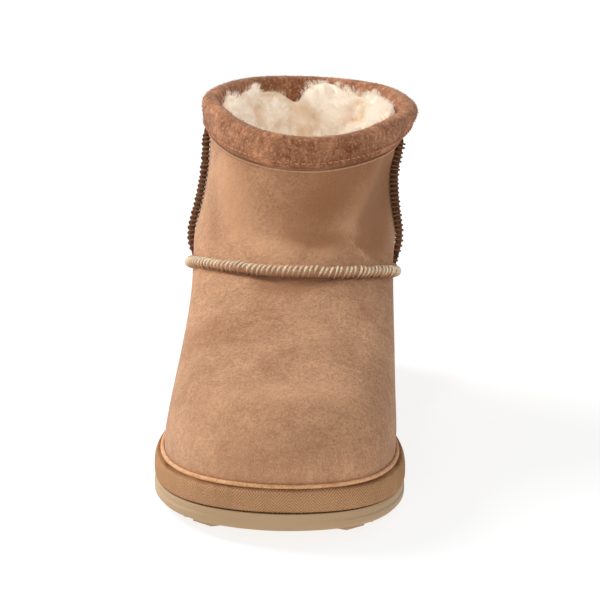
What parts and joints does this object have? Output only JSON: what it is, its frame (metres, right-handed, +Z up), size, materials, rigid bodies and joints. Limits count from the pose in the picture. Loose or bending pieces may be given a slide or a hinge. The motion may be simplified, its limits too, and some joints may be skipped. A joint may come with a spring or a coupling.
{
  "type": "sheepskin ankle boot",
  "caption": "Short pull-on sheepskin boot for the right foot: suede upper with fleece lining, fabric rand and moulded foam sole.",
  "frame": {"origin": "on the floor under the middle of the heel, on the flat bottom of a tread bar", "axes": "+Z up, the toe points along -Y and the heel along +Y, +X is the medial side of the foot"},
  "size_m": [0.1036, 0.268, 0.1378],
  "materials": {
    "suede": "suede side of sheepskin, soft brushed nap, mottled tan",
    "binding_suede": "darker rough suede with a raised, fuzzy nap",
    "seam_edge": "cut suede edges under overlock thread",
    "rand_fabric": "ochre herringbone twill, rolled over at the top edge",
    "sole_foam": "matt moulded foam rubber, pale tan, finely pitted",
    "fleece": "cream sheep's wool in soft curled tufts"
  },
  "bodies": {
    "root": {"outsole": "sole_foam", "footbed": "fleece", "upper": "suede", "rand": "rand_fabric", "collar_binding": "binding_suede", "fleece_lining": "fleece", "heel_counter": "suede", "seam_back": "seam_edge", "seam_instep": "seam_edge", "seam_side_lateral": "seam_edge", "seam_side_medial": "seam_edge"}
  },
  "joints": []
}
